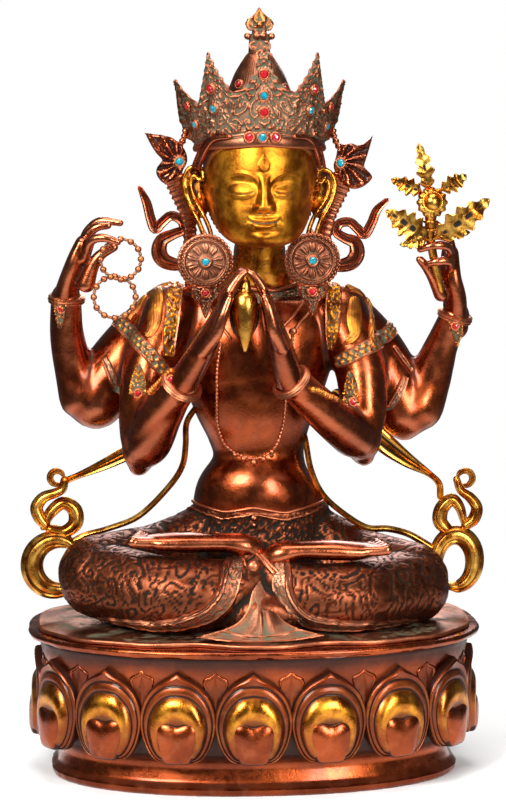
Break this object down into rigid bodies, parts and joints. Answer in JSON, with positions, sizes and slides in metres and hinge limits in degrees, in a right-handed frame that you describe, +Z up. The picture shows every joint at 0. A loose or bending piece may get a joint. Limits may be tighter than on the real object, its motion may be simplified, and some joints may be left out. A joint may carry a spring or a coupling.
{
  "type": "avalokiteshvara statue",
  "caption": "Four-armed seated bodhisattva in cast metal on a lotus throne, hands in prayer, with beads, lotus, crown, scarves and set stones.",
  "frame": {"origin": "middle of the throne's flat underside, on the figure's own centre plane", "axes": "+Z up, the figure faces -Y, and the viewer's right is +X"},
  "size_m": [0.6207, 0.3509, 1.0013],
  "materials": {
    "copper_brown": "red-brown copper patina, polished on the high places",
    "gilt_brass": "warm gilding, darker in the grooves",
    "aged_copper": "dull brown-pink copper with green-grey recesses",
    "turquoise_stone": "polished opaque turquoise cabochon",
    "coral_stone": "polished opaque coral-red cabochon"
  },
  "bodies": {
    "root": {"throne": "copper_brown", "figure": "copper_brown", "crown": "aged_copper", "head_ribbon_left": "aged_copper", "head_ribbon_right": "aged_copper", "earring_left": "aged_copper", "earring_right": "aged_copper", "prayer_beads": "aged_copper", "lotus_flower": "gilt_brass", "jewel": "gilt_brass", "scarf_left": "gilt_brass", "scarf_right": "gilt_brass", "crown_red_1": "coral_stone", "crown_red_2": "coral_stone", "crown_red_3": "coral_stone", "crown_red_4": "coral_stone", "crown_red_5": "coral_stone", "crown_red_6": "coral_stone", "crown_red_7": "coral_stone", "crown_red_8": "coral_stone", "crown_blue_1": "turquoise_stone", "crown_blue_2": "turquoise_stone", "crown_blue_3": "turquoise_stone", "crown_blue_4": "turquoise_stone", "crown_blue_5": "turquoise_stone", "crown_blue_6": "turquoise_stone", "topknot_red_1": "coral_stone", "topknot_red_2": "coral_stone", "fan_blue_left": "turquoise_stone", "fan_blue_right": "turquoise_stone", "earring_blue_left": "turquoise_stone", "earring_blue_right": "turquoise_stone", "pendant_red_left": "coral_stone", "pendant_red_right": "coral_stone", "wrist_red_1": "coral_stone", "wrist_red_2": "coral_stone", "armlet_red_1": "coral_stone", "armlet_red_2": "coral_stone", "armlet_red_3": "coral_stone"}
  },
  "joints": []
}
